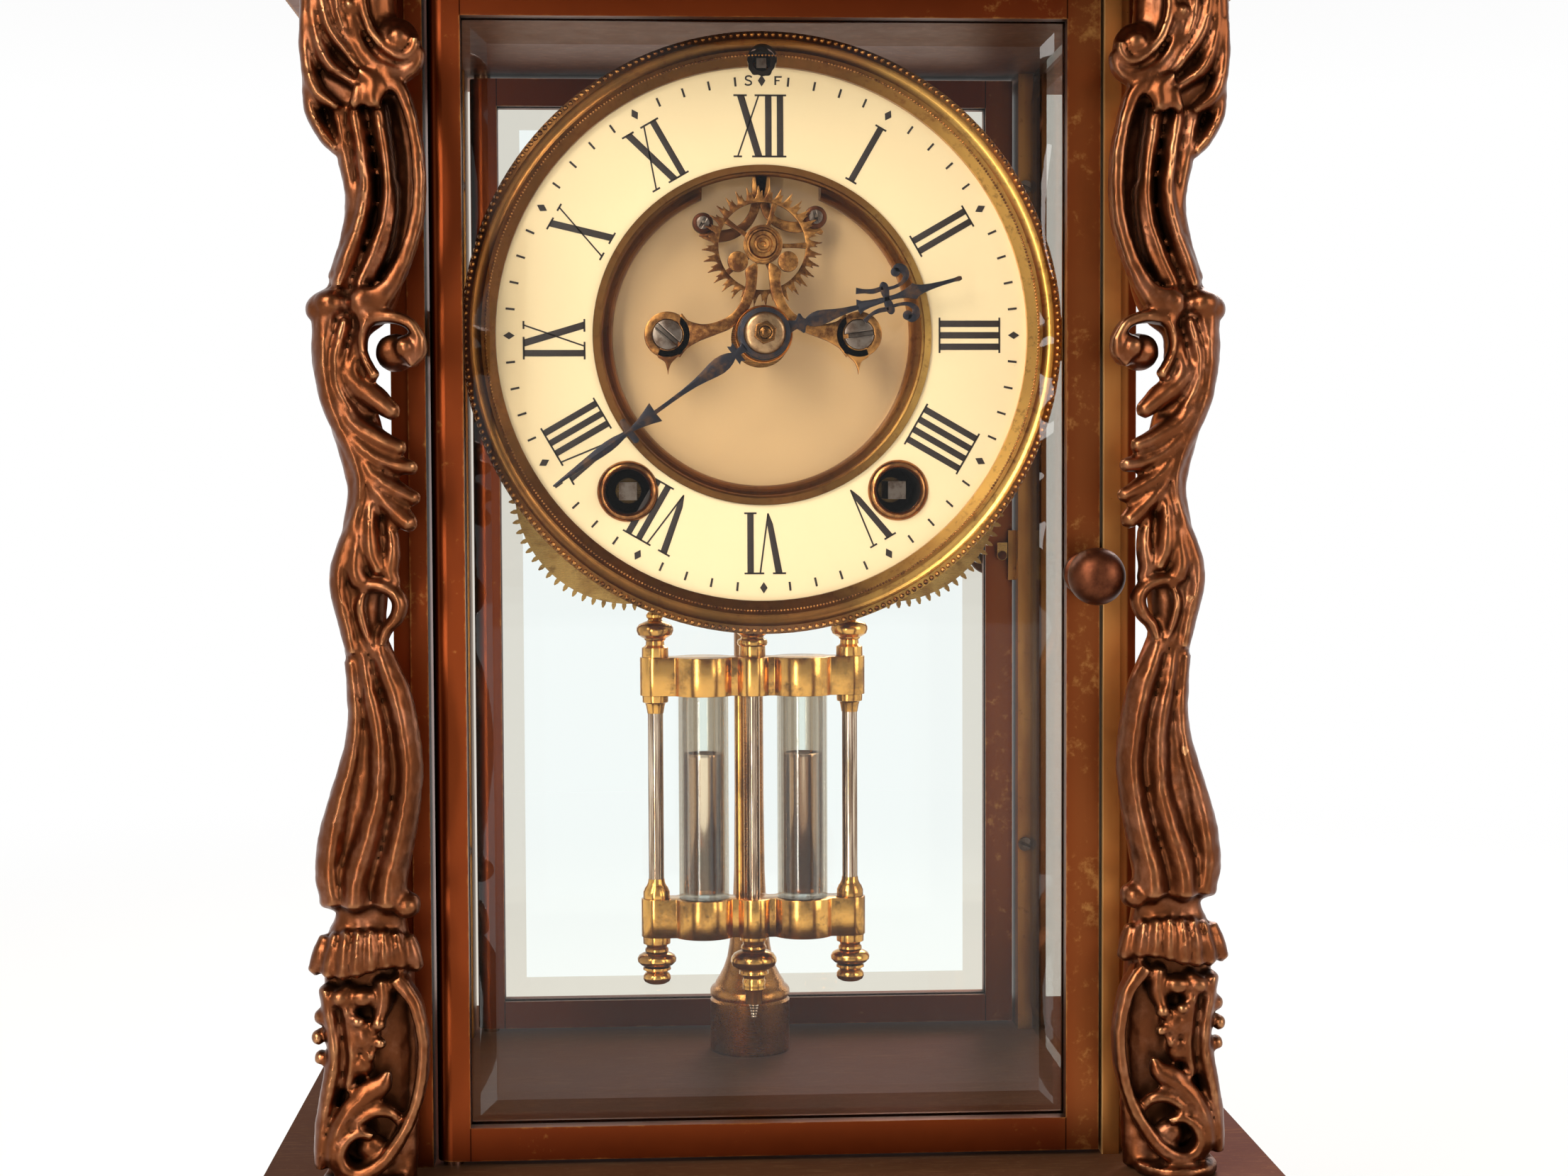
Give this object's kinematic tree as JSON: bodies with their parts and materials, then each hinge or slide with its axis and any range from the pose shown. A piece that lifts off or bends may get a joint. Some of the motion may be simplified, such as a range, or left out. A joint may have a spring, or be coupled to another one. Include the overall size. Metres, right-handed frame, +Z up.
{
  "type": "table clock",
  "caption": "Glazed table clock with hinged doors, cast scroll pillars, enamel dial with open escapement, spring movement and compensated jar pendulum.",
  "frame": {"origin": "middle of the footprint on the table, under the feet", "axes": "+Z up, the dial faces -Y, +X to the viewer's right"},
  "size_m": [0.2166, 0.1926, 0.402],
  "materials": {
    "cast_bronze": "cast copper-brown bronze, worn golden on its high places",
    "case_brass": "reddish aged brass sheet and bar, worn golden at its edges",
    "aged_brass": "turned brass gone dull and speckled",
    "bright_brass": "bright polished brass",
    "gilt_brass": "gilt and polished brass",
    "steel": "plain polished steel",
    "blued_steel": "black to blued steel",
    "gong_steel": "dark blued steel wire",
    "enamel": "fired cream enamel, glossy with fine hairlines",
    "dial_ink": "black fired enamel strokes",
    "glass": "clear bevelled plate glass",
    "jar_glass": "thin clear glass tube",
    "jar_filling": "mercury-like silvery filling",
    "knob_bronze": "dark red-brown patinated bronze",
    "floor_metal": "dark brown-grey metal with fine scratches"
  },
  "bodies": {
    "case": {"base_plinth": "cast_bronze", "feet": "cast_bronze", "floor_plate": "floor_metal", "post_front_left": "case_brass", "post_front_right": "case_brass", "post_rear_left": "case_brass", "post_rear_right": "case_brass", "side_glass_left": "glass", "side_glass_right": "glass", "top_canopy": "cast_bronze", "top_finial": "cast_bronze", "pillar_left": "cast_bronze", "pillar_right": "cast_bronze", "case_screws": "steel", "hinge_pins": "steel", "bezel": "aged_brass", "chapter_ring": "enamel", "dial_numerals": "dial_ink", "inner_ring": "aged_brass", "centre_pan": "enamel", "winding_eyelets": "bright_brass", "front_plate": "bright_brass", "back_plate": "bright_brass", "movement_brackets": "bright_brass", "escape_bridge": "gilt_brass", "bridge_screws": "gilt_brass", "suspension_cock": "bright_brass", "gong_coil": "gong_steel", "gong_stand": "bright_brass"},
    "front_door": {"front_door_frame": "case_brass", "front_door_glass": "glass"},
    "front_latch": {"front_door_knob": "knob_bronze", "front_door_catch": "bright_brass"},
    "rear_door": {"rear_door_frame": "case_brass", "rear_door_glass": "glass"},
    "rear_latch": {"rear_door_knob": "knob_bronze", "rear_door_catch": "bright_brass"},
    "centre": {"centre_arbor": "bright_brass", "minute_hand": "blued_steel", "hand_nut": "bright_brass"},
    "hour": {"hour_hand": "blued_steel", "hour_wheel": "bright_brass"},
    "minute_train": {"minute_wheel": "bright_brass"},
    "intermediate": {"intermediate_wheel": "bright_brass"},
    "third": {"third_wheel": "bright_brass"},
    "escape": {"escape_wheel": "bright_brass"},
    "time_barrel_body": {"time_barrel": "bright_brass"},
    "time_winding": {"time_arbor": "steel"},
    "strike_barrel_body": {"strike_barrel": "bright_brass"},
    "strike_winding": {"strike_arbor": "steel"},
    "pallets": {"pallet_anchor": "blued_steel"},
    "pendulum": {"suspension_spring": "steel", "pendulum_rod": "steel", "jar_plates": "gilt_brass", "jar_columns": "gilt_brass", "jar_vials": "jar_glass", "jar_fillings": "jar_filling", "rating_nut": "gilt_brass"},
    "hammer": {"strike_hammer": "bright_brass"},
    "regulator": {"regulator_arbor": "steel"}
  },
  "joints": [
    {"name": "front_door_hinge", "type": "hinge", "parent": "case", "child": "front_door", "pos_m": [-0.062, -0.057, 0.192], "axis": [0, 0, -1], "range_deg": [0, 80]},
    {"name": "front_catch_turn", "type": "hinge", "parent": "front_door", "child": "front_latch", "pos_m": [0.06215, -0.06, 0.192], "axis": [0, 1, 0], "range_deg": [0, 90]},
    {"name": "rear_door_hinge", "type": "hinge", "parent": "case", "child": "rear_door", "pos_m": [-0.062, 0.057, 0.192], "axis": [0, 0, 1], "range_deg": [0, 80]},
    {"name": "rear_catch_turn", "type": "hinge", "parent": "rear_door", "child": "rear_latch", "pos_m": [0.06215, 0.06, 0.192], "axis": [0, 1, 0], "range_deg": [0, 90]},
    {"name": "minute_turn", "type": "hinge", "parent": "case", "child": "centre", "pos_m": [0, -0.03, 0.2395], "axis": [0, 1, 0], "continuous": true},
    {"name": "hour_turn", "type": "hinge", "parent": "case", "child": "hour", "pos_m": [0, -0.03, 0.2395], "axis": [0, 1, 0], "continuous": true},
    {"name": "minute_wheel_turn", "type": "hinge", "parent": "case", "child": "minute_train", "pos_m": [0, -0.03, 0.2299], "axis": [0, 1, 0], "continuous": true},
    {"name": "intermediate_turn", "type": "hinge", "parent": "case", "child": "intermediate", "pos_m": [0.01864, -0.03, 0.23471], "axis": [0, 1, 0], "continuous": true},
    {"name": "third_turn", "type": "hinge", "parent": "case", "child": "third", "pos_m": [-0.01387, -0.03, 0.25026], "axis": [0, 1, 0], "continuous": true},
    {"name": "escape_turn", "type": "hinge", "parent": "case", "child": "escape", "pos_m": [0, -0.03, 0.2574], "axis": [0, 1, 0], "continuous": true},
    {"name": "time_barrel_turn", "type": "hinge", "parent": "case", "child": "time_barrel_body", "pos_m": [0.0272, -0.03, 0.2084], "axis": [0, 1, 0], "continuous": true},
    {"name": "time_winding_turn", "type": "hinge", "parent": "case", "child": "time_winding", "pos_m": [0.0272, -0.03, 0.2084], "axis": [0, 1, 0], "continuous": true},
    {"name": "strike_barrel_turn", "type": "hinge", "parent": "case", "child": "strike_barrel_body", "pos_m": [-0.0272, -0.03, 0.2084], "axis": [0, 1, 0], "continuous": true},
    {"name": "strike_winding_turn", "type": "hinge", "parent": "case", "child": "strike_winding", "pos_m": [-0.0272, -0.03, 0.2084], "axis": [0, 1, 0], "continuous": true},
    {"name": "pendulum_swing", "type": "hinge", "parent": "case", "child": "pendulum", "pos_m": [0, 0.012, 0.2805], "axis": [0, 1, 0], "range_deg": [-2, 2]},
    {"name": "pallet_rock", "type": "hinge", "parent": "case", "child": "pallets", "pos_m": [0, -0.03, 0.2805], "axis": [0, 1, 0], "range_deg": [-2.5, 2.5]},
    {"name": "hammer_lift", "type": "hinge", "parent": "case", "child": "hammer", "pos_m": [-0.03312, -0.03, 0.2556], "axis": [0, 1, 0], "range_deg": [0, 12], "stiffness_Nm_per_rad": 0.01, "springref_deg": -5.73},
    {"name": "regulator_turn", "type": "hinge", "parent": "case", "child": "regulator", "pos_m": [0, -0.03, 0.2938], "axis": [0, 1, 0], "range_deg": [-180, 180]}
  ],
  "couplings": [
    {"joint": "hour_turn", "follows": "minute_turn", "ratio": 0.083333},
    {"joint": "minute_wheel_turn", "follows": "minute_turn", "ratio": -0.33333},
    {"joint": "intermediate_turn", "follows": "minute_turn", "ratio": -0.16667},
    {"joint": "time_barrel_turn", "follows": "minute_turn", "ratio": 0.02381},
    {"joint": "third_turn", "follows": "minute_turn", "ratio": -12},
    {"joint": "escape_turn", "follows": "minute_turn", "ratio": 144},
    {"joint": "pallet_rock", "follows": "pendulum_swing", "ratio": 1}
  ]
}
